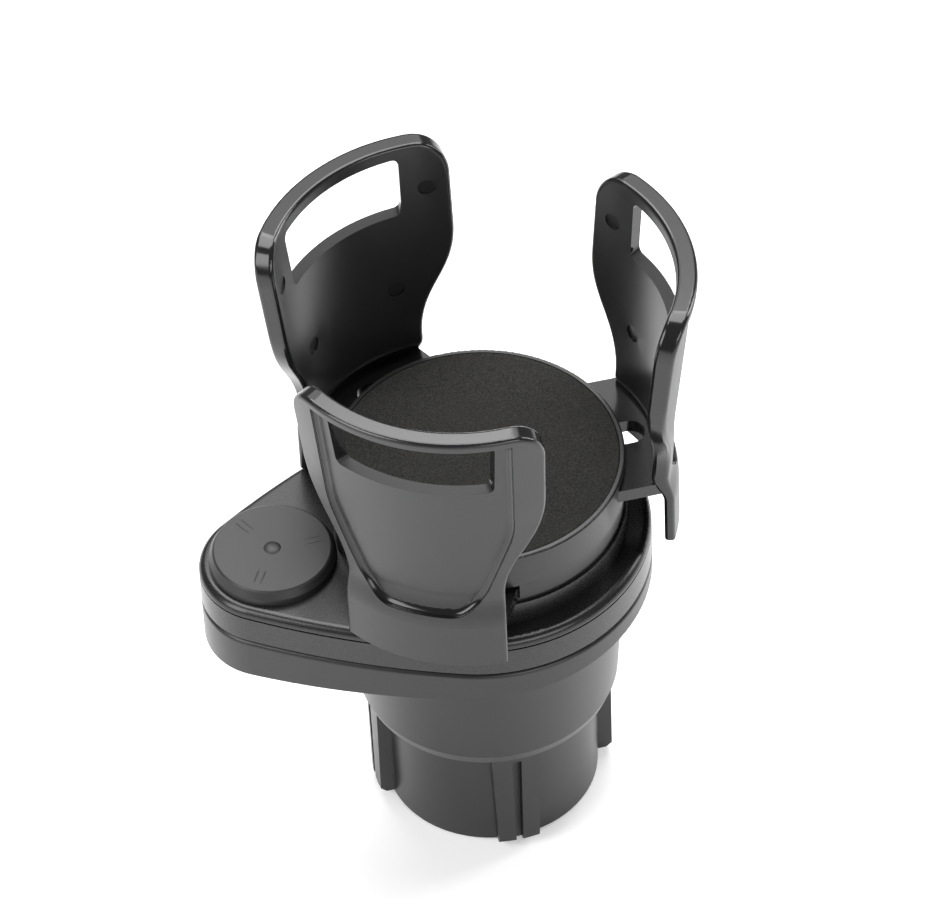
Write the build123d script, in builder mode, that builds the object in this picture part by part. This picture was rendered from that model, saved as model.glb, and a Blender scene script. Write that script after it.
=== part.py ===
from build123d import *
import math
import os

os.makedirs("parts", exist_ok=True)

# Base cup
foot_radius = 29.0
foot_top_radius = 29.6
foot_height = 36.0
shoulder_radius = 35.3
shoulder_height = 41.5
shoulder_lip = 1.2
shoulder_lip_rise = 2.2
mouth_outer_radius = 38.4
cup_wall = 2.3
floor_thickness = 2.6
fin_radius = 33.0
fin_top_radius = 33.2
fin_low = 2.2
fin_toe = 1.6
fin_top = 38.0
fin_width_low = 11.0
fin_width_high = 13.5
fin_groove_low = 1.8
fin_groove_high = 2.6
fin_groove_floor = 30.4
fin_groove_top = 36.0

# Teardrop plates
big_end_radius = 45.15
small_end_radius = 19.7
pivot_offset = 56.0
flank_radius = 233.0
flange_top = 85.2
flange_mid = 77.0
flange_slope = 0.065
flange_wall = 2.4
flange_deck = 2.6
flange_edge_radius = 1.3
split_gap = 0.5
carrier_top = 97.5
carrier_wall = 2.4
carrier_deck = 2.6
carrier_edge_radius = 2.3
carrier_lower_chamfer = 0.5
edge_line_depth = 0.5
edge_line_width = 0.55
edge_line_drop = 2.6

# Pivot
post_radius = 7.0
running_gap = 0.06
hub_radius = 14.6
cap_well = 6.0
hub_shelf = carrier_top - cap_well
cap_hole_radius = 12.0
wave_thickness = 0.5
washer_lift = 0.8
washer_radius = 10.8
washer_thickness = 1.0
pivot_screw_radius = 1.95
pivot_head_radius = 4.8
pivot_head_height = 2.3
pivot_screw_length = 13.0
pivot_drive_length = 4.6
pivot_drive_width = 1.0
pivot_drive_depth = 1.4
cap_low_radius = 16.9
cap_high_radius = 15.8
cap_height = 4.2
cap_wall = 1.6
cap_plug_wall = 1.7
cap_fit = 0.05
cap_bump_radius = 2.3
cap_bump_height = 0.6

# Drum
collar_radius = 38.8
collar_top = 104.7
collar_deck = 2.2
band_radius = 38.0
band_wall = 2.4
band_floor = 1.3
cover_radius = 38.6
cover_wall = 2.5
parting_groove = 0.75
cover_plate = 1.0
rim_height = 1.3
pad_radius = 37.3
pad_thickness = 1.4
centre_post_radius = 3.5
screw_circle = 32.0
screw_boss_radius = 3.2
screw_radius = 1.45
screw_head_radius = 2.8
screw_head_height = 1.8
screw_length = 11.0
screw_drive_length = 3.4
screw_drive_width = 0.8
screw_drive_depth = 1.0

# Arms
arm_reach = 7.5
tongue_half = 20.2
tongue_thickness = 3.9
tongue_play = 0.35
tongue_inner = 12.0
tongue_root = 0.35
slot_half = 4.0
slot_run = 41.0
tongue_lift = 0.3
level_gap = 0.4
skirt_low = 98.0
skirt_high = 112.0
skirt_inner = 42.5
skirt_outer = 45.3
wall_start = 121.5
wall_inner = 39.3
wall_outer = 43.9
arm_top = 186.0
top_inner = 45.6
top_outer = 51.0
arm_edge_radius = 1.1
side_reference = 40.0
side_taper = 0.6
side_near = 16.0
side_far = 76.0
window_near = 30.0
window_far = 60.0
skirt_half = 21.8
shoulder_share = 0.574
wide_half = 34.6
top_corner = 10.5
top_bar = 3.6
window_half = 19.4
window_flare = 0.7
window_height = 18.4
window_corner = 2.2
panel_depth = 1.7
panel_margin = 0.8
panel_half = 25.2
panel_knee_share = 0.395
panel_low_half = 16.0
panel_low_drop = 1.0
panel_bottom_drop = 6.1
panel_corner_inset = 6.0
mark_radius = 2.4
mark_depth = 0.35
mark_high_share = 0.775
mark_high_angle = 35.0
mark_low_share = 0.287
mark_low_angle = 21.0
front_level = collar_top + band_floor + tongue_lift
band_top = front_level + tongue_thickness + tongue_play
back_level = band_top + tongue_play
cover_low = band_top + parting_groove
right_level = back_level + tongue_thickness + level_gap
cover_plate_low = right_level + tongue_thickness + level_gap
pad_floor = cover_plate_low + cover_plate
rim_top = pad_floor + rim_height
window_high = arm_top - top_bar
window_low = window_high - window_height
panel_top = window_high + panel_margin
arm_wall_height = arm_top - wall_start
panel_knee = wall_start + panel_knee_share * arm_wall_height
panel_low = wall_start - panel_low_drop
panel_bottom = wall_start - panel_bottom_drop
shoulder_start = wall_start
shoulder_rise = shoulder_share * arm_wall_height
shoulder_end = shoulder_start + shoulder_rise
spare_share = 1.05
spare_top = wall_start + spare_share * (arm_top - wall_start)
spare_outer = wall_outer + spare_share * (top_outer - wall_outer)
spare_inner = wall_inner + spare_share * (top_inner - wall_inner)


def teardrop(inset):
    big = big_end_radius - inset
    small = small_end_radius - inset
    rho = flank_radius - inset
    cx = ((rho - small) ** 2 - (rho - big) ** 2 - pivot_offset**2) / (2 * pivot_offset)
    cy = -math.sqrt((rho - big) ** 2 - cx**2)
    start = math.degrees(math.atan2(-cy, -cx))
    end = math.degrees(math.atan2(-cy, -pivot_offset - cx))
    with BuildSketch() as outline:
        with BuildLine():
            CenterArc((0, 0), big, -start, 2 * start)
            CenterArc((cx, cy), rho, start, end - start)
            CenterArc((-pivot_offset, 0), small, end, 360 - 2 * end)
            CenterArc((cx, -cy), rho, -end, end - start)
        make_face()
    return outline.sketch


# Base cup: stepped cup, grooved fins, teardrop flange with pivot boss and ribs
with BuildPart() as fins:
    with BuildSketch(Plane.YZ):
        Polygon(
            (-fin_width_low / 2, 0),
            (fin_width_low / 2, 0),
            (fin_width_high / 2, fin_top),
            (-fin_width_high / 2, fin_top),
            align=None,
        )
    extrude(amount=fin_top_radius + 2, both=True)
    with BuildSketch(Plane.YZ):
        Polygon(
            (-fin_groove_low / 2, -1),
            (fin_groove_low / 2, -1),
            (fin_groove_high / 2, fin_groove_top),
            (-fin_groove_high / 2, fin_groove_top),
            align=None,
        )
    extrude(amount=fin_top_radius + 3, both=True, mode=Mode.SUBTRACT)
    with BuildSketch(Plane.XY):
        Circle(fin_groove_floor)
    extrude(amount=fin_top)
    with BuildSketch(Plane.XZ):
        Polygon(
            (foot_radius - 1.5, fin_low),
            (fin_radius - fin_toe, fin_low),
            (fin_radius, fin_low + fin_toe),
            (fin_top_radius, fin_top),
            (foot_radius - 1.5, fin_top),
            align=None,
        )
    revolve(axis=Axis.Z, mode=Mode.INTERSECT)
    with BuildSketch(Plane.YZ):
        Polygon(
            (-fin_width_low / 2, 0),
            (fin_width_low / 2, 0),
            (fin_width_high / 2, fin_top),
            (-fin_width_high / 2, fin_top),
            align=None,
        )
    extrude(amount=fin_top_radius + 2, both=True, mode=Mode.INTERSECT)

with BuildPart() as base_cup:
    with BuildSketch(Plane.XY.offset(flange_mid - 12)):
        add(teardrop(0))
    extrude(amount=flange_top - flange_mid + 12)
    fillet(base_cup.faces().sort_by(Axis.Z)[-1].edges(), flange_edge_radius)
    with BuildSketch(Plane.XY.offset(flange_mid - 13)):
        add(teardrop(flange_wall))
        Circle(mouth_outer_radius - 1, mode=Mode.SUBTRACT)
    extrude(amount=flange_top - flange_deck - flange_mid + 13, mode=Mode.SUBTRACT)
    with BuildSketch(Plane.XY.offset(flange_mid - 12)):
        with Locations((-pivot_offset, 0)):
            Circle(post_radius + 2)
            Rectangle(2 * small_end_radius - 3, 2.0)
            Rectangle(2.0, 2 * small_end_radius - 3)
        with Locations((-pivot_offset + 14, 0)):
            Rectangle(20, 2.0)
    extrude(amount=flange_top - flange_mid + 11)
    with BuildSketch(Plane.XZ):
        Polygon(
            (-pivot_offset - 40, flange_mid - flange_slope * (pivot_offset + 40)),
            (big_end_radius + 20, flange_mid + flange_slope * (big_end_radius + 20)),
            (big_end_radius + 20, flange_mid - 40),
            (-pivot_offset - 40, flange_mid - 40),
            align=None,
        )
    extrude(amount=90, both=True, mode=Mode.SUBTRACT)
    with BuildSketch(Plane.XZ):
        with BuildLine():
            Polyline(
                (0, 0),
                (foot_radius - 1.0, 0),
                (foot_radius, 1.0),
                (foot_top_radius, foot_height),
                (shoulder_radius - shoulder_lip, foot_height + shoulder_lip_rise),
                (shoulder_radius, shoulder_height),
                (mouth_outer_radius, flange_top),
                (0, flange_top),
                close=True,
            )
        make_face()
    revolve(axis=Axis.Z)
    add(fins.part)
    add(fins.part.rotate(Axis.Z, 90))
    with BuildSketch(Plane.XZ):
        with BuildLine():
            Polyline(
                (0, floor_thickness),
                (foot_radius - cup_wall - 1.5, floor_thickness),
                (foot_radius - cup_wall, floor_thickness + 1.5),
                (foot_top_radius - cup_wall, foot_height + 2.0),
                (shoulder_radius - cup_wall, shoulder_height + 2.0),
                (mouth_outer_radius - cup_wall, flange_top),
                (mouth_outer_radius - cup_wall, flange_top + 5),
                (0, flange_top + 5),
                close=True,
            )
        make_face()
    revolve(axis=Axis.Z, mode=Mode.SUBTRACT)
    with BuildSketch(Plane.XY.offset(flange_top)):
        with Locations((-pivot_offset, 0)):
            Circle(post_radius)
    extrude(amount=hub_shelf + washer_lift - flange_top)
    with BuildSketch(Plane.XY.offset(hub_shelf + washer_lift)):
        with Locations((-pivot_offset, 0)):
            Circle(pivot_screw_radius)
    extrude(amount=washer_thickness - pivot_screw_length, mode=Mode.SUBTRACT)
base_cup.part.label = "base_cup"
export_step(base_cup.part, "parts/base_cup.step")

# Carrier: hollow upper teardrop with the collar under the drum and the pivot hub
with BuildPart() as carrier_shell:
    with BuildSketch(Plane.XY.offset(flange_top + split_gap)):
        add(teardrop(0))
    extrude(amount=carrier_top - flange_top - split_gap)
    fillet(carrier_shell.faces().sort_by(Axis.Z)[-1].edges(), carrier_edge_radius)
    chamfer(carrier_shell.faces().sort_by(Axis.Z)[0].edges(), carrier_lower_chamfer)
    with BuildSketch(Plane.XY.offset(carrier_top - edge_line_drop)):
        add(teardrop(-1))
        add(teardrop(edge_line_depth), mode=Mode.SUBTRACT)
    extrude(amount=-edge_line_width, mode=Mode.SUBTRACT)
    with BuildSketch(Plane.XY.offset(carrier_top)):
        Circle(collar_radius)
    extrude(amount=collar_top - carrier_top)
    with BuildSketch(Plane.XY.offset(flange_top + split_gap)):
        add(teardrop(carrier_wall))
    extrude(amount=carrier_top - carrier_deck - flange_top - split_gap, mode=Mode.SUBTRACT)
    with BuildSketch(Plane.XY.offset(flange_top + split_gap)):
        Circle(collar_radius - carrier_wall)
    extrude(amount=collar_top - collar_deck - flange_top - split_gap, mode=Mode.SUBTRACT)
    with BuildSketch(Plane.XY.offset(flange_top + split_gap)):
        with Locations((-pivot_offset, 0)):
            Circle(hub_radius)
    extrude(amount=carrier_top - flange_top - split_gap)
    with BuildSketch(Plane.XY.offset(flange_top + split_gap)):
        with Locations((-pivot_offset, 0)):
            Circle(post_radius + running_gap)
    extrude(amount=20, mode=Mode.SUBTRACT)
    with BuildSketch(Plane.XY.offset(hub_shelf)):
        with Locations((-pivot_offset, 0)):
            Circle(cap_hole_radius)
    extrude(amount=20, mode=Mode.SUBTRACT)
    with BuildSketch(Plane.XY.offset(collar_top)):
        with PolarLocations(screw_circle, 3, start_angle=60):
            Circle(screw_radius + 0.35)
    extrude(amount=-collar_deck - 1, mode=Mode.SUBTRACT)
carrier_shell.part.label = "carrier_shell"
export_step(carrier_shell.part, "parts/carrier_shell.step")

# Pivot stack
with BuildPart() as wave_washer:
    with BuildSketch(Plane.XY.offset(hub_shelf)):
        with Locations((-pivot_offset, 0)):
            Circle(washer_radius - 0.4)
            Circle(post_radius + 0.4, mode=Mode.SUBTRACT)
    extrude(amount=wave_thickness)
wave_washer.part.label = "wave_washer"
export_step(wave_washer.part, "parts/wave_washer.step")

with BuildPart() as pivot_washer:
    with BuildSketch(Plane.XY.offset(hub_shelf + washer_lift)):
        with Locations((-pivot_offset, 0)):
            Circle(washer_radius)
            Circle(pivot_screw_radius + 0.2, mode=Mode.SUBTRACT)
    extrude(amount=washer_thickness)
pivot_washer.part.label = "pivot_washer"
export_step(pivot_washer.part, "parts/pivot_washer.step")

with BuildPart() as pivot_screw:
    with BuildSketch(Plane.XY.offset(hub_shelf + washer_lift + washer_thickness)):
        with Locations((-pivot_offset, 0)):
            Circle(pivot_head_radius)
    extrude(amount=pivot_head_height)
    fillet(pivot_screw.edges().sort_by(Axis.Z)[-1], 0.9)
    with BuildSketch(Plane.XY.offset(hub_shelf + washer_lift + washer_thickness)):
        with Locations((-pivot_offset, 0)):
            Circle(pivot_screw_radius)
    extrude(amount=-pivot_screw_length)
    with BuildSketch(Plane.XY.offset(hub_shelf + washer_lift + washer_thickness + pivot_head_height)):
        with Locations((-pivot_offset, 0)):
            Rectangle(pivot_drive_length, pivot_drive_width)
            Rectangle(pivot_drive_width, pivot_drive_length)
    extrude(amount=-pivot_drive_depth, mode=Mode.SUBTRACT)
pivot_screw.part.label = "pivot_screw"
export_step(pivot_screw.part, "parts/pivot_screw.step")

with BuildPart() as pivot_cap:
    with BuildSketch(Plane.XZ):
        with BuildLine():
            ThreePointArc(
                (0, carrier_top + cap_height + cap_bump_height),
                (cap_bump_radius / 2, carrier_top + cap_height + 0.77 * cap_bump_height),
                (cap_bump_radius, carrier_top + cap_height),
            )
            Polyline(
                (cap_bump_radius, carrier_top + cap_height),
                (cap_high_radius - 0.5, carrier_top + cap_height),
                (cap_high_radius, carrier_top + cap_height - 0.4),
                (cap_high_radius + 1.0, carrier_top + cap_height - 2.2),
                (cap_low_radius, carrier_top + 0.5),
                (cap_low_radius, carrier_top),
                (cap_hole_radius - cap_fit, carrier_top),
                (cap_hole_radius - cap_fit, hub_shelf + 2.6),
                (cap_hole_radius - cap_plug_wall, hub_shelf + 2.6),
                (cap_hole_radius - cap_plug_wall, carrier_top + cap_height - cap_wall),
                (0, carrier_top + cap_height - cap_wall),
                (0, carrier_top + cap_height + cap_bump_height),
            )
        make_face()
    revolve(axis=Axis.Z)
pivot_cap_part = pivot_cap.part.moved(Location((-pivot_offset, 0, 0)))
pivot_cap_part.label = "pivot_cap"
export_step(pivot_cap_part, "parts/pivot_cap.step")

# Drum: band with the lowest slot and the centre post
with BuildPart() as drum_base:
    with BuildSketch(Plane.XY.offset(collar_top)):
        Circle(band_radius)
    extrude(amount=band_top - collar_top)
    with BuildSketch(Plane.XY.offset(collar_top + band_floor)):
        Circle(band_radius - band_wall)
    extrude(amount=band_top - collar_top, mode=Mode.SUBTRACT)
    with BuildSketch(Plane.XY.offset(collar_top + band_floor).rotated((0, 0, -120))):
        with Locations((band_radius / 2 + 5, 0)):
            Rectangle(band_radius + 10, 2 * (tongue_half + tongue_play))
    extrude(amount=20, mode=Mode.SUBTRACT)
    with BuildSketch(Plane.XY.offset(collar_top)):
        Circle(centre_post_radius)
    extrude(amount=cover_plate_low - collar_top)
    with BuildSketch(Plane.XY.offset(collar_top)):
        with PolarLocations(screw_circle, 3, start_angle=60):
            Circle(screw_radius + 0.35)
    extrude(amount=5, mode=Mode.SUBTRACT)
drum_base.part.label = "drum_base"
export_step(drum_base.part, "parts/drum_base.step")

# Drum cover with the two upper slots, the pad recess and the screw bosses
with BuildPart() as drum_cover:
    with BuildSketch(Plane.XY.offset(cover_low)):
        Circle(cover_radius)
    extrude(amount=rim_top - cover_low)
    fillet(drum_cover.faces().sort_by(Axis.Z)[-1].edges(), 0.5)
    with BuildSketch(Plane.XY.offset(cover_low)):
        Circle(cover_radius - cover_wall)
    extrude(amount=cover_plate_low - cover_low, mode=Mode.SUBTRACT)
    with BuildSketch(Plane.XY.offset(pad_floor)):
        Circle(pad_radius)
    extrude(amount=5, mode=Mode.SUBTRACT)
    with BuildSketch(Plane.XY.offset(cover_low - 1).rotated((0, 0, 120))):
        with Locations((cover_radius / 2 + 5, 0)):
            Rectangle(cover_radius + 10, 2 * (tongue_half + tongue_play))
    extrude(amount=back_level + tongue_thickness + tongue_play - cover_low + 1, mode=Mode.SUBTRACT)
    with BuildSketch(Plane.XY.offset(right_level - tongue_play)):
        with Locations((cover_radius / 2 + 5, 0)):
            Rectangle(cover_radius + 10, 2 * (tongue_half + tongue_play))
    extrude(amount=cover_plate_low - right_level + tongue_play, mode=Mode.SUBTRACT)
    with BuildSketch(Plane.XY.offset(collar_top + band_floor)):
        with PolarLocations(screw_circle, 3, start_angle=60):
            Circle(screw_boss_radius)
    extrude(amount=cover_plate_low - collar_top - band_floor)
    with BuildSketch(Plane.XY.offset(collar_top + band_floor)):
        with PolarLocations(screw_circle, 3, start_angle=60):
            Circle(screw_radius)
    extrude(amount=screw_length - collar_deck - band_floor, mode=Mode.SUBTRACT)
drum_cover.part.label = "drum_cover"
export_step(drum_cover.part, "parts/drum_cover.step")

with BuildPart() as drum_screws:
    with BuildSketch(Plane.XY.offset(collar_top - collar_deck)):
        with PolarLocations(screw_circle, 3, start_angle=60):
            Circle(screw_head_radius)
    extrude(amount=-screw_head_height)
    with BuildSketch(Plane.XY.offset(collar_top - collar_deck)):
        with PolarLocations(screw_circle, 3, start_angle=60):
            Circle(screw_radius)
    extrude(amount=screw_length)
    with BuildSketch(Plane.XY.offset(collar_top - collar_deck - screw_head_height)):
        with PolarLocations(screw_circle, 3, start_angle=60):
            Rectangle(screw_drive_length, screw_drive_width)
            Rectangle(screw_drive_width, screw_drive_length)
    extrude(amount=screw_drive_depth, mode=Mode.SUBTRACT)
drum_screws.part.label = "drum_screws"
export_step(drum_screws.part, "parts/drum_screws.step")

with BuildPart() as foam_pad:
    with BuildSketch(Plane.XY.offset(pad_floor)):
        Circle(pad_radius - 0.1)
    extrude(amount=pad_thickness)
    fillet(foam_pad.edges().sort_by(Axis.Z)[-1], 0.4)
foam_pad.part.label = "foam_pad"
export_step(foam_pad.part, "parts/foam_pad.step")

# Arm wall: stepped, leaning section turned about the arm's own axis
with BuildPart() as wall_ring:
    with BuildSketch(Plane.XZ):
        with BuildLine():
            Line((skirt_inner, skirt_low), (skirt_outer, skirt_low))
            Line((skirt_outer, skirt_low), (skirt_outer, skirt_high))
            Spline(
                (skirt_outer, skirt_high),
                (wall_outer, wall_start),
                tangents=((0, 1), (top_outer - wall_outer, arm_top - wall_start)),
            )
            Line((wall_outer, wall_start), (spare_outer, spare_top))
            Line((spare_outer, spare_top), (spare_inner, spare_top))
            Line((spare_inner, spare_top), (wall_inner, wall_start))
            Spline(
                (wall_inner, wall_start),
                (skirt_inner, skirt_high),
                tangents=((wall_inner - top_inner, wall_start - arm_top), (0, -1)),
            )
            Line((skirt_inner, skirt_high), (skirt_inner, skirt_low))
        make_face()
    revolve(axis=Axis.Z)

# Sunk outer panel: everything outside the panel floor, within the panel's border

def panel_outline(reach):
    share = 1 + side_taper * (reach / side_reference - 1)
    half = panel_half * share
    low = panel_low_half * share
    foot = (panel_low_half - panel_corner_inset) * share
    knee = 0.16 * (panel_half - panel_low_half) * share
    drop = 0.16 * (panel_knee - panel_low)
    heel = 0.45 * panel_corner_inset * share
    with BuildSketch(Plane.YZ.offset(reach)) as border:
        with BuildLine():
            Line((-half, panel_top), (half, panel_top))
            Line((half, panel_top), (half, panel_knee + drop))
            Bezier((half, panel_knee + drop), (half, panel_knee), (half - knee, panel_knee - drop))
            Line((half - knee, panel_knee - drop), (low + knee, panel_low + drop))
            Bezier((low + knee, panel_low + drop), (low - heel, panel_bottom), (foot - heel, panel_bottom))
            Line((foot - heel, panel_bottom), (heel - foot, panel_bottom))
            Bezier((heel - foot, panel_bottom), (heel - low, panel_bottom), (-low - knee, panel_low + drop))
            Line((-low - knee, panel_low + drop), (knee - half, panel_knee - drop))
            Bezier((knee - half, panel_knee - drop), (-half, panel_knee), (-half, panel_knee + drop))
            Line((-half, panel_knee + drop), (-half, panel_top))
        make_face()
    return border.sketch


def window_outline(reach):
    half = window_half + window_flare * (reach - side_reference)
    with BuildSketch(Plane.YZ.offset(reach)) as border:
        with Locations((0, (window_low + window_high) / 2)):
            RectangleRounded(2 * half, window_height, window_corner)
    return border.sketch


def arm_outline(reach):
    share = 1 + side_taper * (reach / side_reference - 1)
    bend = 0.448 * top_corner
    half = wide_half * share
    slim = skirt_half * share
    pull = 0.45 * shoulder_rise
    with BuildSketch(Plane.YZ.offset(reach)) as border:
        with BuildLine():
            Line((-slim, skirt_low - 1), (slim, skirt_low - 1))
            Line((slim, skirt_low - 1), (slim, shoulder_start))
            Bezier(
                (slim, shoulder_start),
                (slim, shoulder_start + pull),
                (half, shoulder_end - pull),
                (half, shoulder_end),
            )
            Line((half, shoulder_end), (half, arm_top - top_corner))
            Bezier(
                (half, arm_top - top_corner),
                (half, arm_top - bend),
                (half - bend * share, arm_top),
                (half - top_corner * share, arm_top),
            )
            Line((half - top_corner * share, arm_top), (top_corner * share - half, arm_top))
            Bezier(
                (top_corner * share - half, arm_top),
                (bend * share - half, arm_top),
                (-half, arm_top - bend),
                (-half, arm_top - top_corner),
            )
            Line((-half, arm_top - top_corner), (-half, shoulder_end))
            Bezier(
                (-half, shoulder_end),
                (-half, shoulder_end - pull),
                (-slim, shoulder_start + pull),
                (-slim, shoulder_start),
            )
            Line((-slim, shoulder_start), (-slim, skirt_low - 1))
        make_face()
    return border.sketch


with BuildPart() as panel_ring:
    with BuildSketch(Plane.XZ):
        with BuildLine():
            Line((skirt_outer - panel_depth, skirt_low), (skirt_outer - panel_depth, skirt_high))
            Spline(
                (skirt_outer - panel_depth, skirt_high),
                (wall_outer - panel_depth, wall_start),
                tangents=((0, 1), (top_outer - wall_outer, arm_top - wall_start)),
            )
            Line((wall_outer - panel_depth, wall_start), (top_outer - panel_depth, arm_top))
            Polyline(
                (top_outer - panel_depth, arm_top),
                (top_outer + 12, arm_top),
                (top_outer + 12, skirt_low),
                (skirt_outer - panel_depth, skirt_low),
            )
        make_face()
    revolve(axis=Axis.Z)
    with BuildPart(mode=Mode.INTERSECT):
        loft([panel_outline(side_near).face(), panel_outline(side_far).face()], ruled=True)

with BuildPart() as arm_wall:
    add(wall_ring.part)
    with BuildPart(mode=Mode.INTERSECT):
        loft([arm_outline(side_near).face(), arm_outline(side_far).face()], ruled=True)
    rim_edges = [
        edge
        for edge in arm_wall.edges()
        if edge.length > 9 and (edge.geom_type != GeomType.CIRCLE or edge.center().Z > wall_start + 1)
    ]
    fillet(rim_edges, arm_edge_radius)
    add(panel_ring.part, mode=Mode.SUBTRACT)
    with BuildPart(mode=Mode.SUBTRACT):
        loft([window_outline(window_near).face(), window_outline(window_far).face()], ruled=True)
    for mark_share, angle in (
        (mark_high_share, mark_high_angle),
        (mark_high_share, -mark_high_angle),
        (mark_low_share, mark_low_angle),
        (mark_low_share, -mark_low_angle),
    ):
        mark_height = wall_start + mark_share * arm_wall_height
        mark_face = wall_inner + mark_share * (top_inner - wall_inner)
        outward = (math.cos(math.radians(angle)), math.sin(math.radians(angle)))
        start = mark_face - mark_radius
        with BuildSketch(Plane((start * outward[0], start * outward[1], mark_height), z_dir=(*outward, 0))):
            Circle(mark_radius)
        extrude(amount=mark_radius + mark_depth, mode=Mode.SUBTRACT)


def arm(level, seat):
    with BuildPart() as tongue:
        with BuildSketch(Plane.XY.offset(level)):
            with Locations((-tongue_inner - arm_reach + skirt_outer, 0)):
                Rectangle(2 * skirt_outer, 2 * tongue_half)
            Circle(seat, mode=Mode.INTERSECT)
            with Locations((slot_run / 2 - arm_reach, 0)):
                SlotCenterToCenter(slot_run, 2 * slot_half, mode=Mode.SUBTRACT)
        extrude(amount=tongue_thickness)
    with BuildPart() as whole:
        add(arm_wall.part)
        add(tongue.part)
    return whole.part.moved(Location((arm_reach, 0, 0)))


right_arm = arm(right_level, skirt_inner - tongue_root)
right_arm.label = "right_arm"
export_step(right_arm, "parts/right_arm.step")

front_arm = arm(front_level, skirt_inner + tongue_root).rotate(Axis.Z, -120)
front_arm.label = "front_arm"
export_step(front_arm, "parts/front_arm.step")

back_arm = arm(back_level, skirt_inner + tongue_root).rotate(Axis.Z, 120)
back_arm.label = "back_arm"
export_step(back_arm, "parts/back_arm.step")
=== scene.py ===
import bpy
import math
import numpy as np
from mathutils import Matrix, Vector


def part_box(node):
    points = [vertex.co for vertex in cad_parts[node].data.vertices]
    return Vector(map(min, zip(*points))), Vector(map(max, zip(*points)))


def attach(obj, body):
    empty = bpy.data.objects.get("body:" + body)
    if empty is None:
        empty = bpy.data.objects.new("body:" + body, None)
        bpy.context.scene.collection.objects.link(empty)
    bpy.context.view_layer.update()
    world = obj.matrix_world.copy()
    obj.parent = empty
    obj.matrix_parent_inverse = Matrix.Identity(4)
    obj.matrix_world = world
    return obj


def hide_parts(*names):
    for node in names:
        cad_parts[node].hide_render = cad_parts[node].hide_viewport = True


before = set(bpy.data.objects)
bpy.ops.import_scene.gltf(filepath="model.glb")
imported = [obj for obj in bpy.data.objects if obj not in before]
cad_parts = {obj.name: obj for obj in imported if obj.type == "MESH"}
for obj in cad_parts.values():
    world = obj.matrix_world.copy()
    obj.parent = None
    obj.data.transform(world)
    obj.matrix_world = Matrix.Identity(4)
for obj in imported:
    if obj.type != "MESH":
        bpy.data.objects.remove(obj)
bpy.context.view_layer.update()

# Studio: a pale sweep under the cup holder with large soft lamps around it.
# The camera stands high in front, far away with a long lens.
scene = bpy.context.scene
scene.view_settings.view_transform = "Standard"
scene.view_settings.look = "None"
turn = math.radians(-11.12)
rise = math.radians(46.56)
tilt = math.radians(-2.95)
distance = 1.69276
aside = -0.00448
lift = 0.02038
aim_height = 0.090
back = np.array([math.sin(turn) * math.cos(rise), -math.cos(turn) * math.cos(rise), math.sin(rise)])
level = np.array([math.cos(turn), math.sin(turn), 0.0])
upward = np.cross(back, level)
right = level * math.cos(tilt) + upward * math.sin(tilt)
above = -level * math.sin(tilt) + upward * math.cos(tilt)
stand = back * distance + right * aside + above * lift + np.array([0.0, 0.0, aim_height])
focal_pixels = 6397.0
picture_width = 929.0
sensor_width = 36.0
lens = bpy.data.cameras.new("product_camera")
lens.sensor_width = sensor_width
lens.sensor_fit = "HORIZONTAL"
lens.lens = focal_pixels / picture_width * sensor_width
lens.clip_start = 0.05
lens.clip_end = 50.0
camera = bpy.data.objects.new("product_camera", lens)
scene.collection.objects.link(camera)
camera.matrix_world = Matrix(
    (
        (right[0], above[0], back[0], stand[0]),
        (right[1], above[1], back[1], stand[1]),
        (right[2], above[2], back[2], stand[2]),
        (0.0, 0.0, 0.0, 1.0),
    )
)
scene.camera = camera

sky = bpy.data.worlds.new("studio_white")
scene.world = sky
sky.use_nodes = True
sky.node_tree.nodes["Background"].inputs["Color"].default_value = (1.0, 1.0, 1.0, 1.0)
sky.node_tree.nodes["Background"].inputs["Strength"].default_value = 0.20


def softbox(name, place, aim, width, height, power):
    """A rectangular lamp at place that faces aim: its -Z axis is the unit vector from place to aim."""
    lamp = bpy.data.lights.new(name, "AREA")
    lamp.shape = "RECTANGLE"
    lamp.size = width
    lamp.size_y = height
    lamp.energy = power
    holder = bpy.data.objects.new(name, lamp)
    scene.collection.objects.link(holder)
    toward = np.array(place, float) - np.array(aim, float)
    toward /= np.linalg.norm(toward)
    side = np.cross([0.0, 0.0, 1.0], toward)
    if np.linalg.norm(side) < 1e-6:
        side = np.array([1.0, 0.0, 0.0])
    side /= np.linalg.norm(side)
    top = np.cross(toward, side)
    holder.matrix_world = Matrix(
        (
            (side[0], top[0], toward[0], place[0]),
            (side[1], top[1], toward[1], place[1]),
            (side[2], top[2], toward[2], place[2]),
            (0.0, 0.0, 0.0, 1.0),
        )
    )
    return holder


softbox("overhead_softbox", (0.05, 0.35, 1.05), (0.0, 0.0, 0.08), 1.0, 0.7, 14.0)
softbox("left_softbox", (-0.95, -0.35, 0.75), (0.0, 0.0, 0.08), 0.6, 0.9, 10.0)
softbox("front_softbox", (0.35, -1.1, 0.70), (0.0, 0.0, 0.06), 0.9, 0.5, 6.5)
softbox("right_softbox", (1.0, 0.25, 0.55), (0.0, 0.0, 0.10), 0.25, 0.8, 5.0)
softbox("back_softbox", (0.2, 1.15, 1.15), (0.0, 0.0, 0.10), 1.5, 0.8, 8.0)

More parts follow.
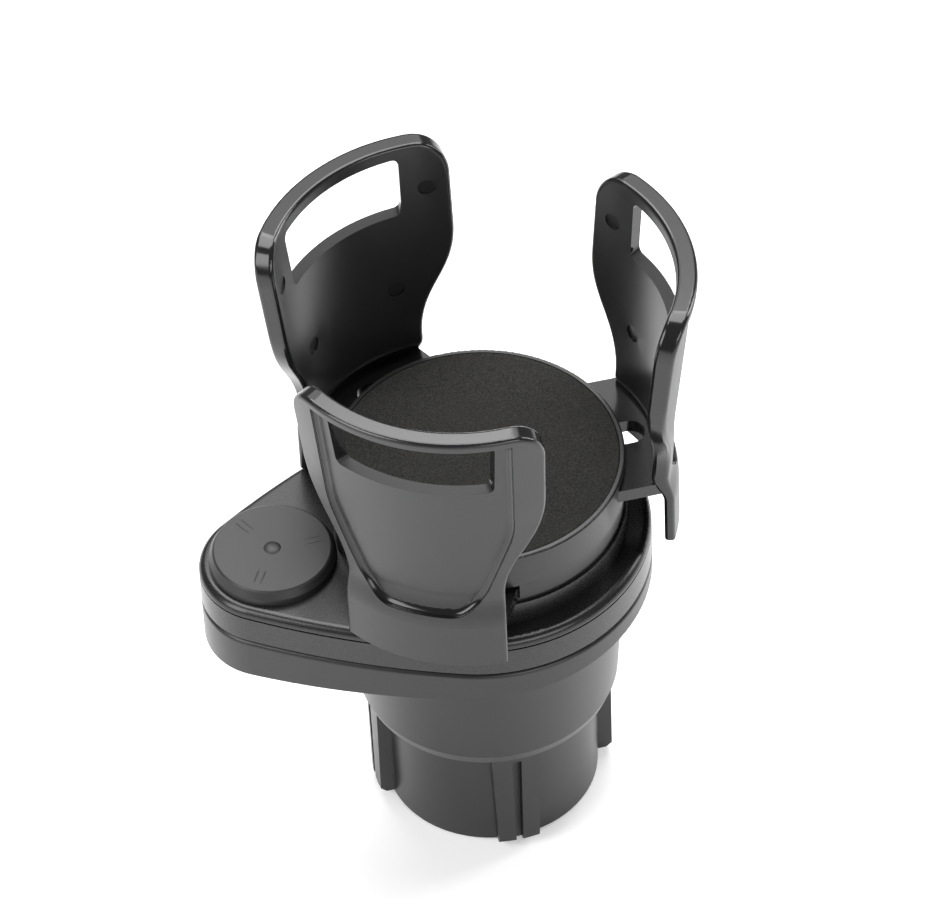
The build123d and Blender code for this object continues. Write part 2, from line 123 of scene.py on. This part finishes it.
sweep_size = 4.0
sweep_mesh = bpy.data.meshes.new("pale_floor")
sweep_mesh.from_pydata(
    [
        (-sweep_size, -sweep_size, 0.0),
        (sweep_size, -sweep_size, 0.0),
        (sweep_size, sweep_size, 0.0),
        (-sweep_size, sweep_size, 0.0),
    ],
    [],
    [(0, 1, 2, 3)],
)
pale_floor = bpy.data.objects.new("pale_floor", sweep_mesh)
scene.collection.objects.link(pale_floor)
floor_paint = bpy.data.materials.new("floor_paint")
floor_paint.use_nodes = True
floor_shader = floor_paint.node_tree.nodes["Principled BSDF"]
floor_shader.inputs["Base Color"].default_value = (0.96, 0.96, 0.96, 1.0)
floor_shader.inputs["Roughness"].default_value = 0.9
floor_shader.inputs["Specular IOR Level"].default_value = 0.1
floor_shader.inputs["Emission Color"].default_value = (1.0, 1.0, 1.0, 1.0)
floor_shader.inputs["Emission Strength"].default_value = 0.20
sweep_mesh.materials.append(floor_paint)

# Lower cup with its fins and flange: one moulding in dark satin plastic.
# The tool was spark eroded, which leaves a fine even grain on the outside faces.
spark_grain = bpy.data.node_groups.new("spark_grain", "ShaderNodeTree")
spark_grain.interface.new_socket("Scale", in_out="INPUT", socket_type="NodeSocketFloat")
spark_grain.interface.new_socket("Height", in_out="OUTPUT", socket_type="NodeSocketFloat")
spark_grain.interface.new_socket("Mottle", in_out="OUTPUT", socket_type="NodeSocketFloat")
grain_in = spark_grain.nodes.new("NodeGroupInput")
grain_out = spark_grain.nodes.new("NodeGroupOutput")
grain_place = spark_grain.nodes.new("ShaderNodeTexCoord")
grain_fine = spark_grain.nodes.new("ShaderNodeTexNoise")
grain_fine.inputs["Detail"].default_value = 3.0
grain_fine.inputs["Roughness"].default_value = 0.6
grain_wide = spark_grain.nodes.new("ShaderNodeTexNoise")
grain_wide.inputs["Scale"].default_value = 38.0
grain_wide.inputs["Detail"].default_value = 4.0
spark_grain.links.new(grain_place.outputs["Object"], grain_fine.inputs["Vector"])
spark_grain.links.new(grain_place.outputs["Object"], grain_wide.inputs["Vector"])
spark_grain.links.new(grain_in.outputs["Scale"], grain_fine.inputs["Scale"])
spark_grain.links.new(grain_fine.outputs["Fac"], grain_out.inputs["Height"])
spark_grain.links.new(grain_wide.outputs["Fac"], grain_out.inputs["Mottle"])


def moulded_plastic(name, dark, light, gloss, shine, grain_scale, grain_depth):
    """Moulded plastic: its colour runs from dark to light and its roughness over gloss with the slow
    mottle, and the fine grain is a bump of grain_depth. Shine is its specular level."""
    plastic = bpy.data.materials.new(name)
    plastic.use_nodes = True
    nodes = plastic.node_tree.nodes
    links = plastic.node_tree.links
    shader = nodes["Principled BSDF"]
    grain = nodes.new("ShaderNodeGroup")
    grain.node_tree = spark_grain
    grain.inputs["Scale"].default_value = grain_scale
    tint = nodes.new("ShaderNodeMix")
    tint.data_type = "RGBA"
    tint.inputs["A"].default_value = (*dark, 1.0)
    tint.inputs["B"].default_value = (*light, 1.0)
    links.new(grain.outputs["Mottle"], tint.inputs["Factor"])
    links.new(tint.outputs["Result"], shader.inputs["Base Color"])
    sheen = nodes.new("ShaderNodeMapRange")
    sheen.inputs["To Min"].default_value = gloss[0]
    sheen.inputs["To Max"].default_value = gloss[1]
    links.new(grain.outputs["Height"], sheen.inputs["Value"])
    links.new(sheen.outputs["Result"], shader.inputs["Roughness"])
    bump = nodes.new("ShaderNodeBump")
    bump.inputs["Strength"].default_value = 0.35
    bump.inputs["Distance"].default_value = grain_depth
    links.new(grain.outputs["Height"], bump.inputs["Height"])
    links.new(bump.outputs["Normal"], shader.inputs["Normal"])
    shader.inputs["IOR"].default_value = 1.5
    shader.inputs["Specular IOR Level"].default_value = shine
    return plastic


def paint_node(node, finish):
    """Gives every material slot of a solid the same finish."""
    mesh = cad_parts[node].data
    mesh.materials.clear()
    mesh.materials.append(finish)


cup_satin = moulded_plastic(
    "cup_satin", (0.0100, 0.0100, 0.0098), (0.0150, 0.0150, 0.0147), (0.28, 0.38), 0.44, 2600.0, 0.00005
)
paint_node("base_cup", cup_satin)

# Carrier: the teardrop shell that swings on the pivot, smoother and darker than the cup.
# The drum's band and cover are screwed onto its collar from below.
carrier_gloss = moulded_plastic(
    "carrier_gloss", (0.0070, 0.0070, 0.0073), (0.0105, 0.0105, 0.0109), (0.23, 0.31), 0.46, 3200.0, 0.000005
)
paint_node("carrier_shell", carrier_gloss)
paint_node("drum_base", cup_satin)
paint_node("drum_cover", cup_satin)

# Pivot stack: zinc-plated steel screw and washers, hidden under the cap.
# The drum's three screws are of the same steel.
plated_steel = bpy.data.materials.new("plated_steel")
plated_steel.use_nodes = True
steel_shader = plated_steel.node_tree.nodes["Principled BSDF"]
steel_grain = plated_steel.node_tree.nodes.new("ShaderNodeGroup")
steel_grain.node_tree = spark_grain
steel_grain.inputs["Scale"].default_value = 900.0
steel_shader.inputs["Metallic"].default_value = 1.0
steel_tint = plated_steel.node_tree.nodes.new("ShaderNodeMix")
steel_tint.data_type = "RGBA"
steel_tint.inputs["A"].default_value = (0.50, 0.50, 0.52, 1.0)
steel_tint.inputs["B"].default_value = (0.68, 0.68, 0.70, 1.0)
plated_steel.node_tree.links.new(steel_grain.outputs["Mottle"], steel_tint.inputs["Factor"])
plated_steel.node_tree.links.new(steel_tint.outputs["Result"], steel_shader.inputs["Base Color"])
steel_sheen = plated_steel.node_tree.nodes.new("ShaderNodeMapRange")
steel_sheen.inputs["To Min"].default_value = 0.22
steel_sheen.inputs["To Max"].default_value = 0.40
plated_steel.node_tree.links.new(steel_grain.outputs["Height"], steel_sheen.inputs["Value"])
plated_steel.node_tree.links.new(steel_sheen.outputs["Result"], steel_shader.inputs["Roughness"])
for fixing in ("wave_washer", "pivot_washer", "pivot_screw", "drum_screws"):
    paint_node(fixing, plated_steel)

# Pivot cap: a matte round cap that snaps into the carrier over the pivot screw.
# Three pairs of faint raised strokes and a centre bump are moulded into its top.
cap_matte = moulded_plastic(
    "cap_matte", (0.0130, 0.0131, 0.0135), (0.0190, 0.0191, 0.0196), (0.38, 0.50), 0.46, 2800.0, 0.00005
)
paint_node("pivot_cap", cap_matte)
cap_low, cap_high = (np.array(corner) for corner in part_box("pivot_cap"))
cap_centre = (cap_low + cap_high) / 2
cap_face = cap_high[2] - 0.0006
tick_length = 0.0052
tick_width = 0.00055
tick_height = 0.00016
tick_sink = 0.00004
tick_place = 0.0108
tick_aside = 0.0009
tick_bearings = [-120.0, 0.0, 120.0]


def cap_ticks():
    """Pairs of faint raised strokes on the cap: each is a low pillow whose height is the product of two
    cosine humps along and across it, turned to run along a radius of the cap."""
    rows = 17
    columns = 7
    strokes = 2 * len(tick_bearings)
    along = np.linspace(-1.0, 1.0, rows)
    across = np.linspace(-1.0, 1.0, columns)
    u, v = np.meshgrid(along, across, indexing="ij")
    hump = tick_height * np.cos(u * math.pi / 2) ** 0.35 * np.cos(v * math.pi / 2) ** 0.6 - tick_sink
    cells = np.arange(rows - 1)[:, None] * columns + np.arange(columns - 1)[None, :]
    quads = np.stack([cells, cells + columns, cells + columns + 1, cells + 1], axis=-1).reshape(-1, 4)
    angle = np.radians(np.repeat(tick_bearings, 2))
    apart = np.tile([-tick_aside, tick_aside], len(tick_bearings))
    run = tick_place + u[None] * tick_length / 2
    off = apart[:, None, None] + v[None] * tick_width / 2
    x = cap_centre[0] + run * np.cos(angle)[:, None, None] - off * np.sin(angle)[:, None, None]
    y = cap_centre[1] + run * np.sin(angle)[:, None, None] + off * np.cos(angle)[:, None, None]
    z = np.broadcast_to(cap_face + hump[None], x.shape)
    points = np.stack([x, y, z], axis=-1).reshape(-1, 3)
    faces = (quads[None] + (np.arange(strokes) * u.size)[:, None, None]).reshape(-1, 4)
    return points, faces


tick_points, tick_faces = cap_ticks()
tick_mesh = bpy.data.meshes.new("cap_ticks")
tick_mesh.from_pydata(tick_points.tolist(), [], tick_faces.tolist())
tick_mesh.polygons.foreach_set("use_smooth", np.ones(len(tick_mesh.polygons), bool))
tick_mesh.materials.append(cap_matte)
cap_tick_piece = bpy.data.objects.new("cap_ticks", tick_mesh)
scene.collection.objects.link(cap_tick_piece)
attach(cap_tick_piece, "carrier")

# Arms: three like mouldings, grained outside and smoother inside, with polished rims.
# Each slides on a slotted tongue that runs into the drum at its own level.
arm_faces = bpy.data.node_groups.new("arm_faces", "ShaderNodeTree")
arm_faces.interface.new_socket("Axis", in_out="INPUT", socket_type="NodeSocketVector")
arm_faces.interface.new_socket("Outside", in_out="OUTPUT", socket_type="NodeSocketFloat")
arm_faces.interface.new_socket("Rim", in_out="OUTPUT", socket_type="NodeSocketFloat")
arm_faces.interface.new_socket("Sill", in_out="OUTPUT", socket_type="NodeSocketFloat")
face_in = arm_faces.nodes.new("NodeGroupInput")
face_out = arm_faces.nodes.new("NodeGroupOutput")
face_place = arm_faces.nodes.new("ShaderNodeTexCoord")
face_from_axis = arm_faces.nodes.new("ShaderNodeVectorMath")
face_from_axis.operation = "SUBTRACT"
face_flat = arm_faces.nodes.new("ShaderNodeVectorMath")
face_flat.operation = "MULTIPLY"
face_flat.inputs[1].default_value = (1.0, 1.0, 0.0)
face_unit = arm_faces.nodes.new("ShaderNodeVectorMath")
face_unit.operation = "NORMALIZE"
face_dot = arm_faces.nodes.new("ShaderNodeVectorMath")
face_dot.operation = "DOT_PRODUCT"
face_outside = arm_faces.nodes.new("ShaderNodeMapRange")
face_outside.inputs["From Min"].default_value = 0.25
face_outside.inputs["From Max"].default_value = 0.75
face_size = arm_faces.nodes.new("ShaderNodeMath")
face_size.operation = "ABSOLUTE"
face_rim = arm_faces.nodes.new("ShaderNodeMapRange")
face_rim.inputs["From Min"].default_value = 0.92
face_rim.inputs["From Max"].default_value = 0.70
arm_faces.links.new(face_place.outputs["Object"], face_from_axis.inputs[0])
arm_faces.links.new(face_in.outputs["Axis"], face_from_axis.inputs[1])
arm_faces.links.new(face_from_axis.outputs["Vector"], face_flat.inputs[0])
arm_faces.links.new(face_flat.outputs["Vector"], face_unit.inputs[0])
arm_faces.links.new(face_unit.outputs["Vector"], face_dot.inputs[0])
arm_faces.links.new(face_place.outputs["Normal"], face_dot.inputs[1])
arm_faces.links.new(face_dot.outputs["Value"], face_outside.inputs["Value"])
arm_faces.links.new(face_dot.outputs["Value"], face_size.inputs[0])
arm_faces.links.new(face_size.outputs["Value"], face_rim.inputs["Value"])
face_parts = arm_faces.nodes.new("ShaderNodeSeparateXYZ")
face_turn = arm_faces.nodes.new("ShaderNodeSeparateXYZ")
face_upward = arm_faces.nodes.new("ShaderNodeMapRange")
face_upward.inputs["From Min"].default_value = 0.45
face_upward.inputs["From Max"].default_value = 0.75
face_above_seat = arm_faces.nodes.new("ShaderNodeMath")
face_above_seat.operation = "GREATER_THAN"
face_above_seat.inputs[1].default_value = 0.150
face_below_top = arm_faces.nodes.new("ShaderNodeMath")
face_below_top.operation = "LESS_THAN"
face_below_top.inputs[1].default_value = 0.175
face_between = arm_faces.nodes.new("ShaderNodeMath")
face_between.operation = "MULTIPLY"
face_sill = arm_faces.nodes.new("ShaderNodeMath")
face_sill.operation = "MULTIPLY"
arm_faces.links.new(face_place.outputs["Object"], face_parts.inputs["Vector"])
arm_faces.links.new(face_place.outputs["Normal"], face_turn.inputs["Vector"])
arm_faces.links.new(face_turn.outputs["Z"], face_upward.inputs["Value"])
arm_faces.links.new(face_parts.outputs["Z"], face_above_seat.inputs[0])
arm_faces.links.new(face_parts.outputs["Z"], face_below_top.inputs[0])
arm_faces.links.new(face_above_seat.outputs["Value"], face_between.inputs[0])
arm_faces.links.new(face_below_top.outputs["Value"], face_between.inputs[1])
arm_faces.links.new(face_between.outputs["Value"], face_sill.inputs[0])
arm_faces.links.new(face_upward.outputs["Result"], face_sill.inputs[1])
arm_faces.links.new(face_sill.outputs["Value"], face_out.inputs["Sill"])
arm_faces.links.new(face_outside.outputs["Result"], face_out.inputs["Outside"])
arm_faces.links.new(face_rim.outputs["Result"], face_out.inputs["Rim"])


def arm_plastic(name, axis):
    """One arm's plastic: grained and greyer on faces that turn away from the arm's own axis, smooth and
    darker with painted shade on those that face it, polished along the rims between the two and dull on the
    window's sill."""
    plastic = bpy.data.materials.new(name)
    plastic.use_nodes = True
    nodes = plastic.node_tree.nodes
    links = plastic.node_tree.links
    shader = nodes["Principled BSDF"]
    faces = nodes.new("ShaderNodeGroup")
    faces.node_tree = arm_faces
    faces.inputs["Axis"].default_value = axis
    grain = nodes.new("ShaderNodeGroup")
    grain.node_tree = spark_grain
    grain.inputs["Scale"].default_value = 2600.0
    # The inside faces' darker colour is painted shade, for the dark that the glossy faces mirror from each
    # other.
    inside_shade_tint = nodes.new("ShaderNodeMix")
    inside_shade_tint.data_type = "RGBA"
    inside_shade_tint.inputs["A"].default_value = (0.0060, 0.0060, 0.0064, 1.0)
    inside_shade_tint.inputs["B"].default_value = (0.0095, 0.0095, 0.0100, 1.0)
    outside_tint = nodes.new("ShaderNodeMix")
    outside_tint.data_type = "RGBA"
    outside_tint.inputs["A"].default_value = (0.0090, 0.0091, 0.0096, 1.0)
    outside_tint.inputs["B"].default_value = (0.0135, 0.0137, 0.0144, 1.0)
    tint = nodes.new("ShaderNodeMix")
    tint.data_type = "RGBA"
    links.new(grain.outputs["Mottle"], inside_shade_tint.inputs["Factor"])
    links.new(grain.outputs["Mottle"], outside_tint.inputs["Factor"])
    links.new(faces.outputs["Outside"], tint.inputs["Factor"])
    links.new(inside_shade_tint.outputs["Result"], tint.inputs["A"])
    links.new(outside_tint.outputs["Result"], tint.inputs["B"])
    links.new(tint.outputs["Result"], shader.inputs["Base Color"])
    satin = nodes.new("ShaderNodeMapRange")
    satin.inputs["To Min"].default_value = 0.32
    satin.inputs["To Max"].default_value = 0.36
    links.new(faces.outputs["Outside"], satin.inputs["Value"])
    polish = nodes.new("ShaderNodeMix")
    polish.data_type = "FLOAT"
    polish.inputs["B"].default_value = 0.14
    links.new(faces.outputs["Rim"], polish.inputs["Factor"])
    links.new(satin.outputs["Result"], polish.inputs["A"])
    sill_satin = nodes.new("ShaderNodeMix")
    sill_satin.data_type = "FLOAT"
    sill_satin.inputs["B"].default_value = 0.62
    links.new(faces.outputs["Sill"], sill_satin.inputs["Factor"])
    links.new(polish.outputs["Result"], sill_satin.inputs["A"])
    links.new(sill_satin.outputs["Result"], shader.inputs["Roughness"])
    cut = nodes.new("ShaderNodeMath")
    cut.operation = "MULTIPLY"
    links.new(grain.outputs["Height"], cut.inputs[0])
    links.new(faces.outputs["Outside"], cut.inputs[1])
    bump = nodes.new("ShaderNodeBump")
    bump.inputs["Strength"].default_value = 0.35
    bump.inputs["Distance"].default_value = 0.00005
    links.new(cut.outputs["Value"], bump.inputs["Height"])
    links.new(bump.outputs["Normal"], shader.inputs["Normal"])
    shader.inputs["IOR"].default_value = 1.5
    shader.inputs["Specular IOR Level"].default_value = 0.50
    return plastic


arm_offset = 0.0075
arm_bearings = {"right_arm": 0.0, "front_arm": -120.0, "back_arm": 120.0}
for arm, bearing in arm_bearings.items():
    facing = math.radians(bearing)
    arm_axis = (arm_offset * math.cos(facing), arm_offset * math.sin(facing), 0.0)
    paint_node(arm, arm_plastic(arm + "_satin", arm_axis))

# Recess lips: the cove where each arm's sunk panel runs up to the skin around it, at the sides and below.
# It belongs to the arm's moulding, and the tool was polished there, so it shines where the skin is grained;
# its darker colour is painted shade for the dark it mirrors.
lip_rise = 0.00140
lip_reach = 0.00165
lip_sink = 0.00008
lip_rounds = 12
# The lip's darker colour is painted shade, the same as on the arms' inside faces.
lip_polish = moulded_plastic(
    "lip_polish", (0.0060, 0.0060, 0.0064), (0.0095, 0.0095, 0.0100), (0.12, 0.18), 0.50, 2600.0, 0.000003
)
wall_foot = 0.1215
wall_lean = 0.0071 / 0.0645
floor_radius = 0.0422
skirt_top = 0.1120
skirt_floor_radius = 0.0436
border_reference = 0.040
border_taper = 0.6


def panel_border():
    """Half-width and height of the sunk panel's border, as it is 40 mm out from the arm's axis: straight
    runs joined by quadratic Bezier corners, down one side, across below and up the other side."""
    t = np.linspace(0.0, 1.0, 15)[:, None]

    def run(start, stop):
        return (1 - t) * np.array(start) + t * np.array(stop)

    def corner(start, pull, stop):
        return (1 - t) ** 2 * np.array(start) + 2 * t * (1 - t) * np.array(pull) + t**2 * np.array(stop)

    side_top = (0.02520, 0.1826)
    knee_above = (0.02520, 0.15121)
    knee = (0.02520, 0.14698)
    knee_below = (0.02373, 0.14274)
    heel_above = (0.01747, 0.12474)
    heel = (0.01330, 0.11540)
    heel_below = (0.00730, 0.11540)
    half = np.concatenate(
        [
            run(side_top, knee_above)[:-1],
            corner(knee_above, knee, knee_below)[:-1],
            run(knee_below, heel_above)[:-1],
            corner(heel_above, heel, heel_below)[:-1],
            run(heel_below, (0.0, heel_below[1])),
        ]
    )
    mirrored = half[::-1][1:] * np.array([-1.0, 1.0])
    return np.concatenate([half, mirrored])


def recess_lip(bearing):
    """An elliptic cove section carried along the panel's border and closed behind, inside the arm. Each
    point is set off from the border towards the panel and lifted off the panel's floor, a cone about the
    arm's axis that eases into the skirt by a cubic; its width follows the border's taper."""
    border = panel_border()
    along = np.gradient(border, axis=0)
    along /= np.linalg.norm(along, axis=1)[:, None]
    inward = np.stack([along[:, 1], -along[:, 0]], axis=1)
    sweep = np.linspace(0.0, math.pi / 2, 9)
    reach = np.concatenate([lip_reach * (1 - np.cos(sweep)), [lip_reach, -lip_sink, -lip_sink]])
    rise = np.concatenate([lip_rise * (1 - np.sin(sweep)), [-lip_sink, -lip_sink, lip_rise]])
    width = border[:, :1] + inward[:, :1] * reach[None, :]
    z = border[:, 1:] + inward[:, 1:] * reach[None, :]
    ease = np.clip((z - skirt_top) / (wall_foot - skirt_top), 0.0, 1.0)
    skirt = (
        skirt_floor_radius
        + (floor_radius - skirt_floor_radius) * (3 * ease**2 - 2 * ease**3)
        + wall_lean * (wall_foot - skirt_top) * (ease**3 - ease**2)
    )
    cone = floor_radius + wall_lean * (z - wall_foot)
    radius = np.where(z < wall_foot, skirt, cone) + rise[None, :]
    x = radius.copy()
    for _ in range(lip_rounds):
        y = width * (1 - border_taper + border_taper * x / border_reference)
        x = np.sqrt(radius**2 - y**2)
    x = x + arm_offset
    facing = math.radians(bearing)
    points = np.stack(
        [x * math.cos(facing) - y * math.sin(facing), x * math.sin(facing) + y * math.cos(facing), z], axis=-1
    )
    count, ring = width.shape
    row = np.arange(count - 1)[:, None] * ring
    here = np.arange(ring)[None, :]
    after = (here + 1) % ring
    quads = np.stack([row + here, row + after, row + ring + after, row + ring + here], axis=-1).reshape(-1, 4)
    ends = [list(range(ring - 1, -1, -1)), list(range((count - 1) * ring, count * ring))]
    return points.reshape(-1, 3), quads.tolist() + ends


for arm, bearing in arm_bearings.items():
    lip_points, lip_faces = recess_lip(bearing)
    lip_mesh = bpy.data.meshes.new(arm + "_lip")
    lip_mesh.from_pydata(lip_points.tolist(), [], lip_faces)
    lip_mesh.polygons.foreach_set("use_smooth", np.arange(len(lip_mesh.polygons)) < len(lip_faces) - 2)
    lip_mesh.materials.append(lip_polish)
    lip = bpy.data.objects.new(arm + "_lip", lip_mesh)
    scene.collection.objects.link(lip)
    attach(lip, arm)

# Foam pad: a die-cut disc of closed-cell foam, stuck down inside the cover's rim.
# Its cut edge is softened, and its top is faintly waved.
pad_low, pad_high = (np.array(corner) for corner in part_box("foam_pad"))
pad_radius = (pad_high[0] - pad_low[0]) / 2
pad_turns = 144


def pad_surface():
    """A profile carried round the pad's axis: up the side, over a rounded lip and across a faintly
    waved cosine top; a fan of triangles closes it at the middle, above and below."""
    lip = 0.0005
    hole = 0.0015
    toe = 0.0002
    wave_height = 0.00004
    wave_turns = 9.0
    crown_drop = 0.00002
    angle = np.linspace(0.0, math.pi / 2, 6)
    lip_r = pad_radius - lip + lip * np.cos(angle)
    lip_z = pad_high[2] - lip + lip * np.sin(angle)
    top_r = np.linspace(pad_radius - lip, hole, 40)[1:]
    top_z = pad_high[2] - wave_height * (1 - np.cos(top_r / pad_radius * wave_turns))
    under_r = np.array([hole, pad_radius - toe])
    under_z = np.full(2, pad_low[2])
    r = np.concatenate([under_r, [pad_radius], lip_r, top_r])
    z = np.concatenate([under_z, [pad_low[2] + toe], lip_z, top_z])
    turn_at = np.linspace(0.0, 2 * math.pi, pad_turns, endpoint=False)
    x = r[:, None] * np.cos(turn_at)[None, :]
    y = r[:, None] * np.sin(turn_at)[None, :]
    points = np.stack([x, y, np.repeat(z[:, None], pad_turns, axis=1)], axis=-1).reshape(-1, 3)
    ring = np.arange(len(r) - 1)[:, None] * pad_turns
    step = np.arange(pad_turns)[None, :]
    after = (step + 1) % pad_turns
    quads = np.stack(
        [ring + step, ring + after, ring + pad_turns + after, ring + pad_turns + step], axis=-1
    ).reshape(-1, 4)
    last = (len(r) - 1) * pad_turns
    poles = np.array([[0.0, 0.0, pad_low[2]], [0.0, 0.0, pad_high[2] - crown_drop]])
    points = np.concatenate([points, poles])
    bottom = np.stack([np.full(pad_turns, len(points) - 2), after[0], step[0]], axis=-1)
    top = np.stack([np.full(pad_turns, len(points) - 1), last + step[0], last + after[0]], axis=-1)
    return points, quads, np.concatenate([bottom, top])


pad_points, pad_quads, pad_fans = pad_surface()
pad_mesh = bpy.data.meshes.new("foam_disc")
pad_mesh.from_pydata(pad_points.tolist(), [], pad_quads.tolist() + pad_fans.tolist())
pad_mesh.polygons.foreach_set("use_smooth", np.ones(len(pad_mesh.polygons), bool))
foam_disc = bpy.data.objects.new("foam_disc", pad_mesh)
scene.collection.objects.link(foam_disc)
foam_cells = bpy.data.materials.new("foam_cells")
foam_cells.use_nodes = True
foam_nodes = foam_cells.node_tree.nodes
foam_links = foam_cells.node_tree.links
foam_shader = foam_nodes["Principled BSDF"]
foam_place = foam_nodes.new("ShaderNodeTexCoord")
foam_pores = foam_nodes.new("ShaderNodeTexVoronoi")
foam_pores.inputs["Scale"].default_value = 2600.0
foam_specks = foam_nodes.new("ShaderNodeTexNoise")
foam_specks.inputs["Scale"].default_value = 3400.0
foam_specks.inputs["Detail"].default_value = 3.0
foam_links.new(foam_place.outputs["Object"], foam_pores.inputs["Vector"])
foam_links.new(foam_place.outputs["Object"], foam_specks.inputs["Vector"])
foam_tint = foam_nodes.new("ShaderNodeValToRGB")
foam_tint.color_ramp.elements[0].position = 0.36
foam_tint.color_ramp.elements[0].color = (0.0098, 0.0096, 0.0091, 1.0)
foam_tint.color_ramp.elements[1].position = 0.72
foam_tint.color_ramp.elements[1].color = (0.0390, 0.0386, 0.0364, 1.0)
foam_links.new(foam_specks.outputs["Fac"], foam_tint.inputs["Fac"])
foam_links.new(foam_tint.outputs["Color"], foam_shader.inputs["Base Color"])
foam_shader.inputs["Roughness"].default_value = 0.95
foam_shader.inputs["Specular IOR Level"].default_value = 0.15
foam_bump = foam_nodes.new("ShaderNodeBump")
foam_bump.inputs["Strength"].default_value = 0.6
foam_bump.inputs["Distance"].default_value = 0.0002
foam_links.new(foam_pores.outputs["Distance"], foam_bump.inputs["Height"])
foam_links.new(foam_bump.outputs["Normal"], foam_shader.inputs["Normal"])
pad_mesh.materials.append(foam_cells)
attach(foam_disc, "carrier")
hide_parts("foam_pad")
